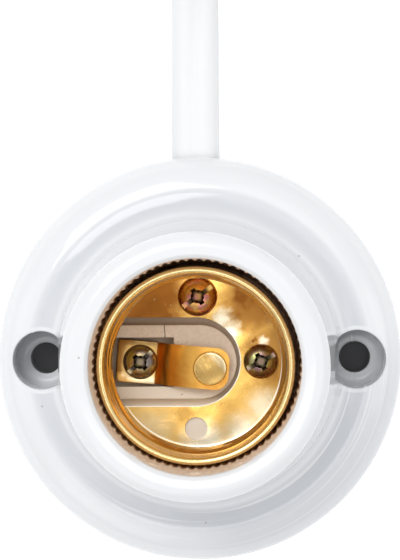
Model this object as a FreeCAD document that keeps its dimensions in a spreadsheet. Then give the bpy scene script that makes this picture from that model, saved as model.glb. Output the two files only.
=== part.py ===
import FreeCAD, Part
import math
import os

import Sketcher

# Porcelain lamp holder for an E27 screw cap. Its back lies on Z = 0 and its axis is Z. Looking down
# into the mouth, the cord leaves at +Y and the fixing holes lie on X. All sizes are in millimetres.

doc = FreeCAD.newDocument("lamp_holder")
sheet = doc.addObject("Spreadsheet::Sheet", "Sizes")
vector = FreeCAD.Vector
UP = vector(0, 0, 1)


class Size:
    """A number from the sheet, with the expression that binds a feature to it."""

    def __init__(self, value, text):
        self.value = float(value)
        self.text = text

    def joined(self, sign, other, value):
        return Size(value, f"({self.text} {sign} {other.text})")

    def __add__(self, other):
        other = as_size(other)
        return self.joined("+", other, self.value + other.value)

    def __sub__(self, other):
        other = as_size(other)
        return self.joined("-", other, self.value - other.value)

    def __mul__(self, other):
        other = as_size(other)
        return self.joined("*", other, self.value * other.value)

    def __truediv__(self, other):
        other = as_size(other)
        return self.joined("/", other, self.value / other.value)

    def __radd__(self, other):
        return as_size(other) + self

    def __rsub__(self, other):
        return as_size(other) - self

    def __rmul__(self, other):
        return as_size(other) * self

    def __neg__(self):
        return as_size(0) - self


def as_size(number):
    return number if isinstance(number, Size) else Size(number, repr(float(number)))


rows = []


def size(name, number):
    """Write a driving dimension into the sheet and give it back as a Size."""
    rows.append(name)
    row = len(rows)
    sheet.set(f"A{row}", name)
    sheet.set(f"B{row}", str(number))
    sheet.setAlias(f"B{row}", name)
    return Size(number, f"Sizes.{name}")


# Porcelain: foot, shoulder, neck and lip
foot_radius = size("foot_radius", 31.0)
foot_bevel = size("foot_bevel", 0.8)
foot_side = size("foot_side", 7.4)
shoulder_round = size("shoulder_round", 5.6)
neck_root_radius = size("neck_root_radius", 21.3)
neck_root_round = size("neck_root_round", 4.4)
body_height = size("body_height", 42.0)
lip_radius = size("lip_radius", 19.2)
lip_round = size("lip_round", 2.4)
mouth_radius = size("mouth_radius", 15.1)
mouth_bevel = size("mouth_bevel", 0.5)
mouth_taper = size("mouth_taper", 4.5)
bore_narrowing = size("bore_narrowing", 0.5)

# Porcelain: fluted bore and the floor that carries the metal parts
flute_depth = size("flute_depth", 0.3)
flute_count = 76
flute_points = 4
seat_height = size("seat_height", 19.6)
floor_thickness = size("floor_thickness", 6.6)
island_rise = size("island_rise", 1.8)
island_half = size("island_half", 5.5)
island_end = size("island_end", 5.8)
groove_half = size("groove_half", 3.65)
groove_end = size("groove_end", -3.55)

# Porcelain: wiring space at the back and the way out for the cord
space_neck_wall = size("space_neck_wall", 4.3)
space_flare = size("space_flare", 2.7)
space_side_height = size("space_side_height", 9.0)
space_draft = size("space_draft", 1.0)
boss_wall = size("boss_wall", 1.7)
cord_way_past = size("cord_way_past", 1.0)

# Fixing holes
fixing_spacing = size("fixing_spacing", 48.0)
fixing_radius = size("fixing_radius", 2.43)
counterbore_radius = size("counterbore_radius", 4.45)
counterbore_floor = size("counterbore_floor", 3.6)
counterbore_flat = size("counterbore_flat", 20.2)

# Brass screw shell with the rolled E27 thread
sheet_brass = size("sheet_brass", 0.4)
shell_depth = size("shell_depth", 16.4)
shell_lip_radius = size("shell_lip_radius", 14.25)
shell_lip_round = size("shell_lip_round", 0.5)
shell_wall_radius = size("shell_wall_radius", 12.95)
shell_bottom_round = size("shell_bottom_round", 0.7)
thread_pitch = size("thread_pitch", 3.629)
thread_swing = size("thread_swing", 0.5)
thread_low = size("thread_low", 2.9)
thread_high = size("thread_high", 1.9)
slot_half = size("slot_half", 6.6)
slot_centre = size("slot_centre", -0.3)
shell_notch = size("shell_notch", 2.7)
spare_hole_radius = size("spare_hole_radius", 1.7)
spare_hole_side = size("spare_hole_side", -0.3)
spare_hole_place = size("spare_hole_place", -10.0)

# Screws, threaded M3
screw_radius = size("screw_radius", 1.5)
thread_clearance = size("thread_clearance", 0.03)
hole_clearance = size("hole_clearance", 0.2)
top_screw_place = size("top_screw_place", 9.7)
side_screw_place = size("side_screw_place", 9.4)
contact_screw_place = size("contact_screw_place", -8.55)
large_head_radius = size("large_head_radius", 2.95)
small_head_radius = size("small_head_radius", 2.6)
head_height = size("head_height", 1.7)
head_flank_share = size("head_flank_share", 0.35)
head_crown_share = size("head_crown_share", 0.5)
screw_past_plate = size("screw_past_plate", 1.0)
slot_width = size("slot_width", 0.8)
slot_depth = size("slot_depth", 0.8)
cross_half = size("cross_half", 1.5)
cross_depth = size("cross_depth", 1.1)
top_slot_turn = size("top_slot_turn", 35.0)
side_slot_turn = size("side_slot_turn", 27.0)
contact_slot_turn = size("contact_slot_turn", 42.0)
wire_slot_turn = size("wire_slot_turn", 20.0)

# Centre contact
tongue_half = size("tongue_half", 3.1)
tongue_sheet = size("tongue_sheet", 0.4)
tongue_back = size("tongue_back", -11.6)
tongue_bend = size("tongue_bend", -5.9)
tongue_crest = size("tongue_crest", -4.0)
tongue_level = size("tongue_level", -0.9)
tongue_tip = size("tongue_tip", 4.7)
tongue_crest_rise = size("tongue_crest_rise", 2.5)
tongue_rise = size("tongue_rise", 3.8)
tongue_corner = size("tongue_corner", 1.8)
tongue_bend_round = size("tongue_bend_round", 0.5)
tongue_lean = size("tongue_lean", 0.5)
tongue_crest_back = size("tongue_crest_back", 0.08)
tongue_turn = size("tongue_turn", -5.0)
button_radius = size("button_radius", 2.5)
button_height = size("button_height", 0.8)
button_edge = size("button_edge", 0.32)
button_ring_depth = size("button_ring_depth", 0.2)
button_ring_radius = size("button_ring_radius", 1.825)
button_ring_half = size("button_ring_half", 0.175)
button_ring_low_half = size("button_ring_low_half", 0.075)
rivet_head_bevel = size("rivet_head_bevel", 0.4)
button_place = size("button_place", 1.9)
rivet_radius = size("rivet_radius", 0.8)
rivet_head_radius = size("rivet_head_radius", 1.3)
rivet_head_height = size("rivet_head_height", 0.4)
clamp_half = size("clamp_half", 3.2)
clamp_back = size("clamp_back", 3.5)
clamp_front = size("clamp_front", 2.4)
clamp_thickness = size("clamp_thickness", 0.8)

# Terminals and wires behind the floor
plate_thickness = size("plate_thickness", 1.4)
plate_margin = size("plate_margin", 3.1)
wire_screw_gap = size("wire_screw_gap", 6.8)
wire_head_radius = size("wire_head_radius", 2.7)
washer_half = size("washer_half", 2.8)
washer_thickness = size("washer_thickness", 0.8)
conductor_radius = size("conductor_radius", 0.65)
bared_past = size("bared_past", 2.9)
core_radius = size("core_radius", 1.25)
core_spacing = size("core_spacing", 3.2)
core_run = size("core_run", 4.0)
conductor_reach = size("conductor_reach", 13.0)

# Flat cord, its coil and its plug
cord_width = size("cord_width", 7.4)
cord_thickness = size("cord_thickness", 4.3)
cord_side = size("cord_side", -0.6)
cord_clearance = size("cord_clearance", 0.3)
sheath_start = size("sheath_start", 21.5)
coil_distance = size("coil_distance", 103.0)
coil_radius = size("coil_radius", 37.0)
coil_turns_across = 3
coil_layers = 2
tail_offset = size("tail_offset", 29.0)
tail_length = size("tail_length", 12.0)
tail_level = size("tail_level", 8.4)
tail_end_run = size("tail_end_run", 7.2)
plug_length = size("plug_length", 37.0)
plug_front_width = size("plug_front_width", 35.0)
plug_back_width = size("plug_back_width", 15.0)
plug_thickness = size("plug_thickness", 13.7)
plug_round = size("plug_round", 2.5)
plug_waist = size("plug_waist", 16.65)
plug_shoulder = size("plug_shoulder", 27.75)
plug_relief = size("plug_relief", 12.0)
relief_wall = size("relief_wall", 1.0)
pin_spacing = size("pin_spacing", 18.6)
pin_radius = size("pin_radius", 2.0)
pin_length = size("pin_length", 19.0)
pin_sleeve = size("pin_sleeve", 10.0)
pin_sleeve_wall = size("pin_sleeve_wall", 0.25)
pin_seat = size("pin_seat", 6.0)
pin_tip_radius = size("pin_tip_radius", 0.8)
pin_tip_bevel = size("pin_tip_bevel", 1.2)

doc.recompute()

bore_radius = mouth_radius - bore_narrowing
ledge_height = foot_side + shoulder_round
ceiling_height = seat_height - floor_thickness
space_top_radius = neck_root_radius - space_neck_wall
space_side_radius = neck_root_radius + space_flare
island_top = seat_height + island_rise
plate_top = seat_height + sheet_brass
shell_rim = seat_height + shell_depth
tongue_top = seat_height + tongue_sheet
clamp_top = tongue_top + clamp_thickness
plate_bottom = ceiling_height - plate_thickness
washer_top = plate_bottom - 2 * conductor_radius
washer_bottom = washer_top - washer_thickness
wire_offset = screw_radius + conductor_radius
core_lead = space_top_radius - conductor_reach


def new_body(label):
    body = doc.addObject("PartDesign::Body", label)
    body.Label = label
    return body


def sketch_on(body, role, name, lift=None):
    """Start a sketch on one of the body's own origin planes, lifted along its normal."""
    sketch = body.newObject("Sketcher::SketchObject", name)
    plane = next(feature for feature in body.Origin.OriginFeatures if feature.Role == role)
    sketch.AttachmentSupport = [(plane, "")]
    sketch.MapMode = "FlatFace"
    if lift is not None:
        sketch.setExpression("AttachmentOffset.Base.z", lift.text)
    return sketch


def bind(sketch, constraint, amount):
    """Add a dimension and tie it to the sheet."""
    index = sketch.addConstraint(constraint)
    sketch.setExpression(f"Constraints[{index}]", amount.text)


def pin_point(sketch, curve, end, across, up):
    """Fix the end of a curve by its distances from the sketch's origin."""
    for kind, axis, amount in (("DistanceX", -2, as_size(across)), ("DistanceY", -1, as_size(up))):
        if amount.value == 0:
            sketch.addConstraint(Sketcher.Constraint("PointOnObject", curve, end, axis))
        else:
            bind(sketch, Sketcher.Constraint(kind, -1, 1, curve, end, amount.value), amount)


def arc_between(start, end, radius):
    """Arc from start to end that turns left with a positive radius, and right with a negative one."""
    chord = end - start
    half = chord.Length / 2
    height = math.sqrt(max(radius * radius - half * half, 0))
    left = vector(-chord.y, chord.x, 0).normalize()
    centre = start + chord * 0.5 + left * math.copysign(height, radius)
    first, last = (start, end) if radius > 0 else (end, start)
    from_angle = math.atan2(first.y - centre.y, first.x - centre.x)
    to_angle = math.atan2(last.y - centre.y, last.x - centre.x)
    return Part.ArcOfCircle(Part.Circle(centre, UP, abs(radius)), from_angle, to_angle)


def outline(sketch, corners):
    """Close an outline. A corner is (across, up), with the radius of the arc that leads to it."""
    spots = [vector(as_size(c[0]).value, as_size(c[1]).value, 0) for c in corners]
    ends = []
    for number, corner in enumerate(corners):
        start, end = spots[number - 1], spots[number]
        if len(corner) == 3:
            radius = corner[2]
            curve = sketch.addGeometry(arc_between(start, end, radius.value))
            ends.append((curve, 1, 2) if radius.value > 0 else (curve, 2, 1))
        else:
            curve = sketch.addGeometry(Part.LineSegment(start, end))
            ends.append((curve, 1, 2))
    for number, corner in enumerate(corners):
        curve, _, last = ends[number]
        following, first, _ = ends[(number + 1) % len(corners)]
        sketch.addConstraint(Sketcher.Constraint("Coincident", curve, last, following, first))
        pin_point(sketch, curve, last, corner[0], corner[1])
    for number, corner in enumerate(corners):
        if len(corner) == 3:
            radius = corner[2] if corner[2].value > 0 else -corner[2]
            bind(sketch, Sketcher.Constraint("Radius", ends[number][0], radius.value), radius)


def round_hole(sketch, across, up, radius):
    across, up = as_size(across), as_size(up)
    centre = vector(across.value, up.value, 0)
    circle = sketch.addGeometry(Part.Circle(centre, UP, radius.value))
    pin_point(sketch, circle, 3, across, up)
    bind(sketch, Sketcher.Constraint("Radius", circle, radius.value), radius)


def rectangle(sketch, left, right, low, high):
    outline(sketch, [(left, low), (right, low), (right, high), (left, high)])


def revolve(body, sketch):
    feature = body.newObject("PartDesign::Revolution", f"{body.Label}_turned")
    feature.Profile = sketch
    feature.ReferenceAxis = (sketch, ["V_Axis"])
    feature.Angle = 360
    return feature


def pad(body, sketch, length, both_sides=False):
    feature = body.newObject("PartDesign::Pad", f"{sketch.Name}_pad")
    feature.Profile = sketch
    feature.setExpression("Length", length.text)
    feature.Midplane = both_sides
    return feature


def pocket(body, sketch, depth, upwards=False, both_sides=False):
    feature = body.newObject("PartDesign::Pocket", f"{sketch.Name}_pocket")
    feature.Profile = sketch
    feature.setExpression("Length", depth.text)
    feature.Reversed = upwards
    feature.Midplane = both_sides
    return feature


def round_edges(body, base, radius, chosen):
    """Fillet the edges of the last feature for which chosen(edge) is true."""
    doc.recompute()
    names = [f"Edge{n + 1}" for n, edge in enumerate(base.Shape.Edges) if chosen(edge)]
    feature = body.newObject("PartDesign::Fillet", f"{base.Name}_round")
    feature.Base = (base, names)
    feature.setExpression("Radius", radius.text)
    return feature


def place(piece, x=None, y=None, z=None, turn=as_size(0), flip=False):
    """Put a piece in the holder's frame, turned about Z and, if asked, upside down first."""
    rotation = FreeCAD.Rotation(UP, turn.value)
    if flip:
        rotation = rotation.multiply(FreeCAD.Rotation(vector(1, 0, 0), 180))
    piece.Placement = FreeCAD.Placement(vector(0, 0, 0), rotation)
    for axis, amount in (("x", x), ("y", y), ("z", z)):
        if amount is not None:
            piece.setExpression(f"Placement.Base.{axis}", as_size(amount).text)


def along_z(edge):
    ends = [vertex.Point for vertex in edge.Vertexes]
    return len(ends) == 2 and (ends[0] - ends[1]).cross(UP).Length < 1e-6


def shape_piece(label, shape):
    piece = doc.addObject("Part::Feature", label)
    piece.Label = label
    piece.Shape = shape
    return piece


# The porcelain is turned as one solid, with its floor, island and screw holes
blank = new_body("ceramic_blank")
profile = sketch_on(blank, "XZ_Plane", "ceramic_profile")
outline(profile, [
    (0, seat_height),
    (0, 0),
    (foot_radius - foot_bevel, 0),
    (foot_radius, foot_bevel),
    (foot_radius, foot_side),
    (foot_radius - shoulder_round, ledge_height, shoulder_round),
    (neck_root_radius + neck_root_round, ledge_height),
    (neck_root_radius, ledge_height + neck_root_round, -neck_root_round),
    (lip_radius, body_height - lip_round),
    (lip_radius - lip_round, body_height, lip_round),
    (mouth_radius + mouth_bevel, body_height),
    (mouth_radius, body_height - mouth_bevel),
    (bore_radius, body_height - mouth_taper),
    (bore_radius, seat_height),
])
revolve(blank, profile)

island = sketch_on(blank, "XY_Plane", "island", seat_height)
island_round_centre = island_end - island_half
outline(island, [
    (-bore_radius, -island_half),
    (island_round_centre, -island_half),
    (island_end, 0, island_half),
    (island_round_centre, island_half, island_half),
    (-bore_radius, island_half),
])
pad(blank, island, island_rise)

groove = sketch_on(blank, "XY_Plane", "groove", island_top)
rectangle(groove, -bore_radius, groove_end, -groove_half, groove_half)
pocket(blank, groove, island_rise)

floor_holes = sketch_on(blank, "XY_Plane", "floor_holes", island_top)
floor_hole_radius = screw_radius + hole_clearance
round_hole(floor_holes, contact_screw_place, 0, floor_hole_radius)
round_hole(floor_holes, side_screw_place, 0, floor_hole_radius)
round_hole(floor_holes, 0, top_screw_place, floor_hole_radius)
pocket(blank, floor_holes, island_top)

fixings = sketch_on(blank, "XY_Plane", "fixings")
round_hole(fixings, fixing_spacing / 2, 0, fixing_radius)
round_hole(fixings, -fixing_spacing / 2, 0, fixing_radius)
pocket(blank, fixings, body_height, upwards=True)

counterbores = sketch_on(blank, "XY_Plane", "counterbores", counterbore_floor)
flat_inset = (fixing_spacing / 2 - counterbore_flat).value
flat_half = Size(
    math.sqrt(counterbore_radius.value ** 2 - flat_inset ** 2),
    "sqrt(Sizes.counterbore_radius ^ 2 - (Sizes.fixing_spacing / 2 - Sizes.counterbore_flat) ^ 2)",
)
for side in (1, -1):
    outer_end = side * (fixing_spacing / 2 + counterbore_radius)
    outline(counterbores, [
        (side * counterbore_flat, -side * flat_half),
        (outer_end, 0, counterbore_radius),
        (side * counterbore_flat, side * flat_half, counterbore_radius),
    ])
pocket(blank, counterbores, body_height, upwards=True)

# The back of the porcelain is pressed round a core: the wiring space, less the two fixing bosses
core = new_body("back_core")
core_profile = sketch_on(core, "XZ_Plane", "core_profile")
outline(core_profile, [
    (0, ceiling_height),
    (0, 0),
    (space_side_radius + space_draft, 0),
    (space_side_radius, space_side_height),
    (space_top_radius, ceiling_height),
])
revolve(core, core_profile)
bosses = sketch_on(core, "XY_Plane", "bosses")
round_hole(bosses, fixing_spacing / 2, 0, counterbore_radius + boss_wall)
round_hole(bosses, -fixing_spacing / 2, 0, counterbore_radius + boss_wall)
pocket(core, bosses, ceiling_height, upwards=True)
cord_way = sketch_on(core, "XY_Plane", "cord_way")
way_half = cord_width / 2 + cord_clearance
rectangle(cord_way, cord_side - way_half, cord_side + way_half,
          space_top_radius, foot_radius + cord_way_past)
pad(core, cord_way, cord_thickness + cord_clearance)

# The bore is pressed with upright hollow flutes round its whole wall, and they run out in its taper
flute_ring = []
for number in range(flute_count * flute_points):
    angle = math.tau * number / (flute_count * flute_points)
    hollow = flute_depth.value * abs(math.sin(angle * flute_count / 2))
    flute_ring.append(vector(math.cos(angle), math.sin(angle), 0) * (bore_radius.value + hollow))
flute_low = island_top + 2 * flute_depth
flute_high = body_height - mouth_bevel
flute_face = Part.Face(Part.makePolygon(flute_ring + flute_ring[:1]))
flute_core = shape_piece("flute_core", flute_face.extrude(UP * (flute_high - flute_low).value))
place(flute_core, z=flute_low)

cores = doc.addObject("Part::MultiFuse", "pressing_cores")
cores.Shapes = [core, flute_core]
ceramic = doc.addObject("Part::Cut", "ceramic_body")
ceramic.Label = "ceramic_body"
ceramic.Base = blank
ceramic.Tool = cores


# The shell is drawn from brass sheet. A ring of the rolled thread is a circle whose centre walks
# round the axis once for each pitch, and the walk dies away at both ends of the thread.
thread_start = (seat_height + thread_low).value
thread_end = (shell_rim - thread_high).value
rings_in_a_pitch = 7
rings_to_full_swing = 4
ring_count = round((thread_end - thread_start) / thread_pitch.value * rings_in_a_pitch)


def thread_ring(number, radius):
    share = number / ring_count
    height = thread_start + share * (thread_end - thread_start)
    swing = thread_swing.value * min(
        1.0, share * ring_count / rings_to_full_swing, (1 - share) * ring_count / rings_to_full_swing
    )
    angle = math.tau * height / thread_pitch.value
    centre = vector(swing * math.cos(angle), swing * math.sin(angle), height)
    return Part.Wire(Part.Circle(centre, UP, radius).toShape())


def thread_form(radius):
    return Part.makeLoft([thread_ring(n, radius) for n in range(ring_count + 1)], True, True)


def turned(points):
    """Solid turned about Z from points in the XZ plane, closed along the last run."""
    spots = [vector(as_size(r).value, 0, as_size(h).value) for r, h in points]
    return Part.Face(Part.makePolygon(spots + spots[:1])).revolve(vector(0, 0, 0), UP, 360)


def round_steps(across, up, radius, first, last, steps):
    """Points on a small round about (across, up), from the first angle to the last in degrees."""
    angles = [math.radians(first + (last - first) * number / steps) for number in range(steps + 1)]
    return [(across + radius * math.cos(angle), up + radius * math.sin(angle)) for angle in angles]


wall_outer = shell_wall_radius + sheet_brass
threaded_wall = thread_form(wall_outer.value).cut(thread_form(shell_wall_radius.value))
cup_top = seat_height + thread_low
round_centre = wall_outer - shell_bottom_round
round_level = seat_height + shell_bottom_round
cup = turned([
    (0, plate_top),
    (0, seat_height),
    *round_steps(round_centre, round_level, shell_bottom_round, -90, 0, 3),
    (wall_outer, cup_top),
    (shell_wall_radius, cup_top),
    *round_steps(round_centre, round_level, shell_bottom_round - sheet_brass, 0, -90, 3),
])

# The lip flares out and ends in a rolled bead
lip_start = shell_rim - thread_high
bead_centre = shell_lip_radius - shell_lip_round
bead_level = shell_rim - shell_lip_round
lip = turned([
    (wall_outer, lip_start),
    (shell_wall_radius, lip_start),
    *round_steps(bead_centre, bead_level, shell_lip_round, 180, -60, 8),
])
shell = cup.fuse([threaded_wall, lip])

# The bottom plate is slotted round the contact, and the wall above the slot is notched
slot_tall = (sheet_brass + shell_notch).value
slot = Part.makeBox(2 * foot_radius.value, 2 * slot_half.value, slot_tall)
slot.translate(vector(slot_centre.value - 2 * foot_radius.value, -slot_half.value, seat_height.value))
slot_end = Part.makeCylinder(slot_half.value, sheet_brass.value,
                             vector(slot_centre.value, 0, seat_height.value))
screw_gap = (screw_radius + hole_clearance).value
shell_cuts = [slot, slot_end]
for x, y, radius in (
    (0, top_screw_place.value, screw_gap),
    (side_screw_place.value, 0, screw_gap),
    (spare_hole_side.value, spare_hole_place.value, spare_hole_radius.value),
):
    shell_cuts.append(Part.makeCylinder(radius, sheet_brass.value, vector(x, y, seat_height.value)))
shell = shell.cut(shell_cuts).removeSplitter()
shape_piece("screw_shell", shell)


def pan_screw(label, head_radius, shank_length, x, y, z, slot_turn, flip=False):
    """Pan-head screw with a straight slot and a cross recess, its head's underside at z."""
    screw = new_body(label)
    form = sketch_on(screw, "XZ_Plane", f"{label}_form")
    flank = head_height * head_flank_share
    crown = head_radius * head_crown_share
    outline(form, [
        (0, head_height),
        (0, -shank_length),
        (screw_radius, -shank_length),
        (screw_radius, 0),
        (head_radius, 0),
        (head_radius, flank),
        (crown, head_height),
    ])
    revolve(screw, form)
    slot_form = sketch_on(screw, "XY_Plane", f"{label}_slot", head_height)
    rectangle(slot_form, -head_radius, head_radius, -slot_width / 2, slot_width / 2)
    pocket(screw, slot_form, slot_depth)
    cross = sketch_on(screw, "XY_Plane", f"{label}_cross", head_height)
    half = slot_width / 2
    outline(cross, [
        (-half, -cross_half),
        (half, -cross_half),
        (half, -half),
        (cross_half, -half),
        (cross_half, half),
        (half, half),
        (half, cross_half),
        (-half, cross_half),
        (-half, half),
        (-cross_half, half),
        (-cross_half, -half),
        (-half, -half),
    ])
    pocket(screw, cross, cross_depth)
    place(screw, x, y, z, slot_turn, flip)
    return screw


screw_reach = plate_bottom - screw_past_plate
pan_screw("shell_screw_top", large_head_radius, plate_top - screw_reach,
          0, top_screw_place, plate_top, top_slot_turn)
pan_screw("shell_screw_side", small_head_radius, plate_top - screw_reach,
          side_screw_place, 0, plate_top, side_slot_turn)
pan_screw("contact_screw", small_head_radius, clamp_top - screw_reach,
          contact_screw_place, 0, clamp_top, contact_slot_turn)

# The strip of the centre contact lies flat under its screw, climbs out of the groove and levels off.
# It is turned a few degrees about its screw, so it is drawn from the screw's axis.
from_screw = -contact_screw_place
tongue = new_body("contact_tongue")
tongue_side = sketch_on(tongue, "XZ_Plane", "tongue_side")
slant = tongue_sheet * tongue_lean
tongue_corners = [
    (tongue_back + from_screw, as_size(0)),
    (tongue_bend + from_screw + slant, as_size(0)),
    (tongue_crest + from_screw + slant, tongue_crest_rise - tongue_sheet),
    (tongue_level + from_screw, tongue_rise - tongue_sheet),
    (tongue_tip + from_screw, tongue_rise - tongue_sheet),
    (tongue_tip + from_screw, tongue_rise),
    (tongue_level + from_screw, tongue_rise),
    (tongue_crest + from_screw - tongue_crest_back, tongue_crest_rise),
    (tongue_bend + from_screw, tongue_sheet),
    (tongue_back + from_screw, tongue_sheet),
]
outline(tongue_side, tongue_corners)
pad(tongue, tongue_side, 2 * tongue_half, both_sides=True)
tongue_holes = sketch_on(tongue, "XY_Plane", "tongue_holes")
round_hole(tongue_holes, 0, 0, screw_radius + hole_clearance)
round_hole(tongue_holes, button_place + from_screw, 0, rivet_radius)
tongue_cut = pocket(tongue, tongue_holes, tongue_rise, upwards=True)
tip_across = (tongue_tip + from_screw).value
tongue_tip_rounds = round_edges(
    tongue, tongue_cut, tongue_corner,
    lambda edge: along_z(edge) and abs(edge.CenterOfMass.x - tip_across) < 1e-6,
)


def across_strip(edge):
    ends = [vertex.Point for vertex in edge.Vertexes]
    return len(ends) == 2 and abs(abs(ends[0].y - ends[1].y) - 2 * tongue_half.value) < 1e-6


def bends_at(spots):
    """Choose the strip's edges that run across it at these (along, up) spots."""
    places = [(along.value, up.value) for along, up in spots]
    return lambda edge: across_strip(edge) and any(
        math.hypot(edge.CenterOfMass.x - along, edge.CenterOfMass.z - up) < 1e-6 for along, up in places
    )


inner_bends = [tongue_corners[8], tongue_corners[2], tongue_corners[3]]
outer_bends = [tongue_corners[1], tongue_corners[7], tongue_corners[6]]
tongue_inner = round_edges(tongue, tongue_tip_rounds, tongue_bend_round, bends_at(inner_bends))
round_edges(tongue, tongue_inner, tongue_bend_round + tongue_sheet, bends_at(outer_bends))
place(tongue, contact_screw_place, 0, seat_height, tongue_turn)

# Round contact riveted through the strip: disc on top, clenched head below
button = new_body("contact_button")
button_form = sketch_on(button, "XZ_Plane", "button_form")
ring_low = button_height - button_ring_depth
outline(button_form, [
    (0, button_height),
    (0, -tongue_sheet - rivet_head_height),
    (rivet_head_radius - rivet_head_bevel, -tongue_sheet - rivet_head_height),
    (rivet_head_radius, -tongue_sheet),
    (rivet_radius - thread_clearance, -tongue_sheet),
    (rivet_radius - thread_clearance, 0),
    (button_radius, 0),
    (button_radius, button_height - button_edge),
    (button_radius - button_edge, button_height),
    (button_ring_radius + button_ring_half, button_height),
    (button_ring_radius + button_ring_low_half, ring_low),
    (button_ring_radius - button_ring_low_half, ring_low),
    (button_ring_radius - button_ring_half, button_height),
])
revolve(button, button_form)
reach = (button_place + from_screw).value
turn = math.radians(tongue_turn.value)
button_x = Size(
    contact_screw_place.value + reach * math.cos(turn),
    "(Sizes.contact_screw_place + (Sizes.button_place - Sizes.contact_screw_place)"
    " * cos(Sizes.tongue_turn * 1 deg))",
)
button_y = Size(
    reach * math.sin(turn),
    "((Sizes.button_place - Sizes.contact_screw_place) * sin(Sizes.tongue_turn * 1 deg))",
)
place(button, button_x, button_y, seat_height + tongue_rise)

# Square plate that the contact screw presses on the strip
clamp = new_body("contact_clamp_plate")
clamp_form = sketch_on(clamp, "XY_Plane", "clamp_form")
rectangle(clamp_form, -clamp_back, clamp_front, -clamp_half, clamp_half)
round_hole(clamp_form, 0, 0, screw_radius + hole_clearance)
pad(clamp, clamp_form, clamp_thickness)
place(clamp, contact_screw_place, 0, tongue_top, tongue_turn)

# Brass plates under the floor: the screws above are driven into them, and the wires clamped to them
live = new_body("live_terminal")
live_form = sketch_on(live, "XY_Plane", "live_form", plate_bottom)
rectangle(live_form, contact_screw_place - plate_margin, contact_screw_place + plate_margin,
          -plate_margin, wire_screw_gap + plate_margin)
tapped_radius = screw_radius + thread_clearance
round_hole(live_form, contact_screw_place, 0, tapped_radius)
round_hole(live_form, contact_screw_place, wire_screw_gap, tapped_radius)
pad(live, live_form, plate_thickness)

neutral = new_body("neutral_terminal")
neutral_form = sketch_on(neutral, "XY_Plane", "neutral_form", plate_bottom)
inner_edge = side_screw_place - plate_margin
outer_edge = top_screw_place + plate_margin
outline(neutral_form, [
    (inner_edge, -plate_margin),
    (outer_edge, -plate_margin),
    (outer_edge, 0),
    (0, outer_edge, outer_edge),
    (-plate_margin, outer_edge),
    (-plate_margin, inner_edge),
    (0, inner_edge),
    (inner_edge, 0, -inner_edge),
])
diagonal = side_screw_place * Size(math.sqrt(0.5), "sqrt(0.5)")
round_hole(neutral_form, side_screw_place, 0, tapped_radius)
round_hole(neutral_form, 0, top_screw_place, tapped_radius)
round_hole(neutral_form, diagonal, diagonal, tapped_radius)
pad(neutral, neutral_form, plate_thickness)


def wire_clamp(name, x, y, wire_side):
    """Screw, square washer and bared wire that hang under a terminal plate."""
    pan_screw(f"{name}_wire_screw", wire_head_radius, ceiling_height - washer_bottom - thread_clearance,
              x, y, washer_bottom, wire_slot_turn, flip=True)
    washer = new_body(f"{name}_wire_washer")
    form = sketch_on(washer, "XY_Plane", f"{name}_washer_form", washer_bottom)
    rectangle(form, -washer_half, washer_half, -washer_half, washer_half)
    round_hole(form, 0, 0, screw_radius + thread_clearance)
    pad(washer, form, washer_thickness)
    place(washer, x, y)
    wire = doc.addObject("Part::Cylinder", f"{name}_conductor")
    wire.Label = f"{name}_conductor"
    wire.setExpression("Radius", conductor_radius.text)
    wire.setExpression("Height", (2 * washer_half + bared_past).text)
    wire.Placement = FreeCAD.Placement(vector(0, 0, 0), FreeCAD.Rotation(vector(1, 0, 0), -90))
    wire.setExpression("Placement.Base.x", (x + wire_side * (wire_offset + thread_clearance)).text)
    wire.setExpression("Placement.Base.y", (y - washer_half).text)
    wire.setExpression("Placement.Base.z", (washer_top + conductor_radius).text)


wire_clamp("live", contact_screw_place, wire_screw_gap, 1)
wire_clamp("neutral", diagonal, diagonal, -1)


def rounded_path(corners, share=0.45):
    """Straight runs joined by tangent arcs, each as large as its two runs allow."""
    edges = []
    start = corners[0]
    for before, corner, after in zip(corners, corners[1:], corners[2:]):
        into, out = (corner - before), (after - corner)
        half_turn = into.getAngle(out) / 2
        cut = share * min(into.Length, out.Length)
        radius = cut / math.tan(half_turn)
        arc_start = corner - into.normalize() * cut
        arc_end = corner + out.normalize() * cut
        inward = (out - into).normalize()
        middle = corner + inward * radius * (1 / math.cos(half_turn) - 1)
        edges.append(Part.LineSegment(start, arc_start).toShape())
        edges.append(Part.Arc(arc_start, middle, arc_end).toShape())
        start = arc_end
    edges.append(Part.LineSegment(start, corners[-1]).toShape())
    return Part.Wire(edges)


def tube(path, radius):
    """Round tube along a path."""
    first = path.Edges[0]
    heading = first.tangentAt(first.FirstParameter)
    ring = Part.Wire(Part.Circle(path.Edges[0].valueAt(first.FirstParameter), heading, radius).toShape())
    return path.makePipeShell([ring], True, False)


cord_middle = cord_thickness / 2


def wire_core(name, conductor_x, conductor_end_y, side):
    """Insulated core from the end of the sheath up to its bared end."""
    start_x = cord_side + side * (core_spacing / 2)
    level = washer_top + conductor_radius
    corners = [
        vector(start_x.value, sheath_start.value, cord_middle.value),
        vector(start_x.value, sheath_start.value - core_run.value, cord_middle.value),
        vector(conductor_x.value, conductor_end_y.value + core_lead.value, level.value),
        vector(conductor_x.value, conductor_end_y.value, level.value),
    ]
    shape_piece(f"{name}_core", tube(rounded_path(corners), core_radius.value))


clamp_reach = washer_half + bared_past
wire_core("live", contact_screw_place + wire_offset + thread_clearance, wire_screw_gap + clamp_reach, -1)
wire_core("neutral", diagonal - wire_offset - thread_clearance, diagonal + clamp_reach, 1)

# The flat cord lies on the ground the holder stands on, and runs straight back to its coil
coil_breadth = coil_turns_across * cord_thickness
coil_outer = coil_radius + coil_breadth / 2
coil_inner = coil_radius - coil_breadth / 2
coil_height = coil_layers * cord_width
coil_centre_x = cord_side + coil_outer - cord_thickness / 2

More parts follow.
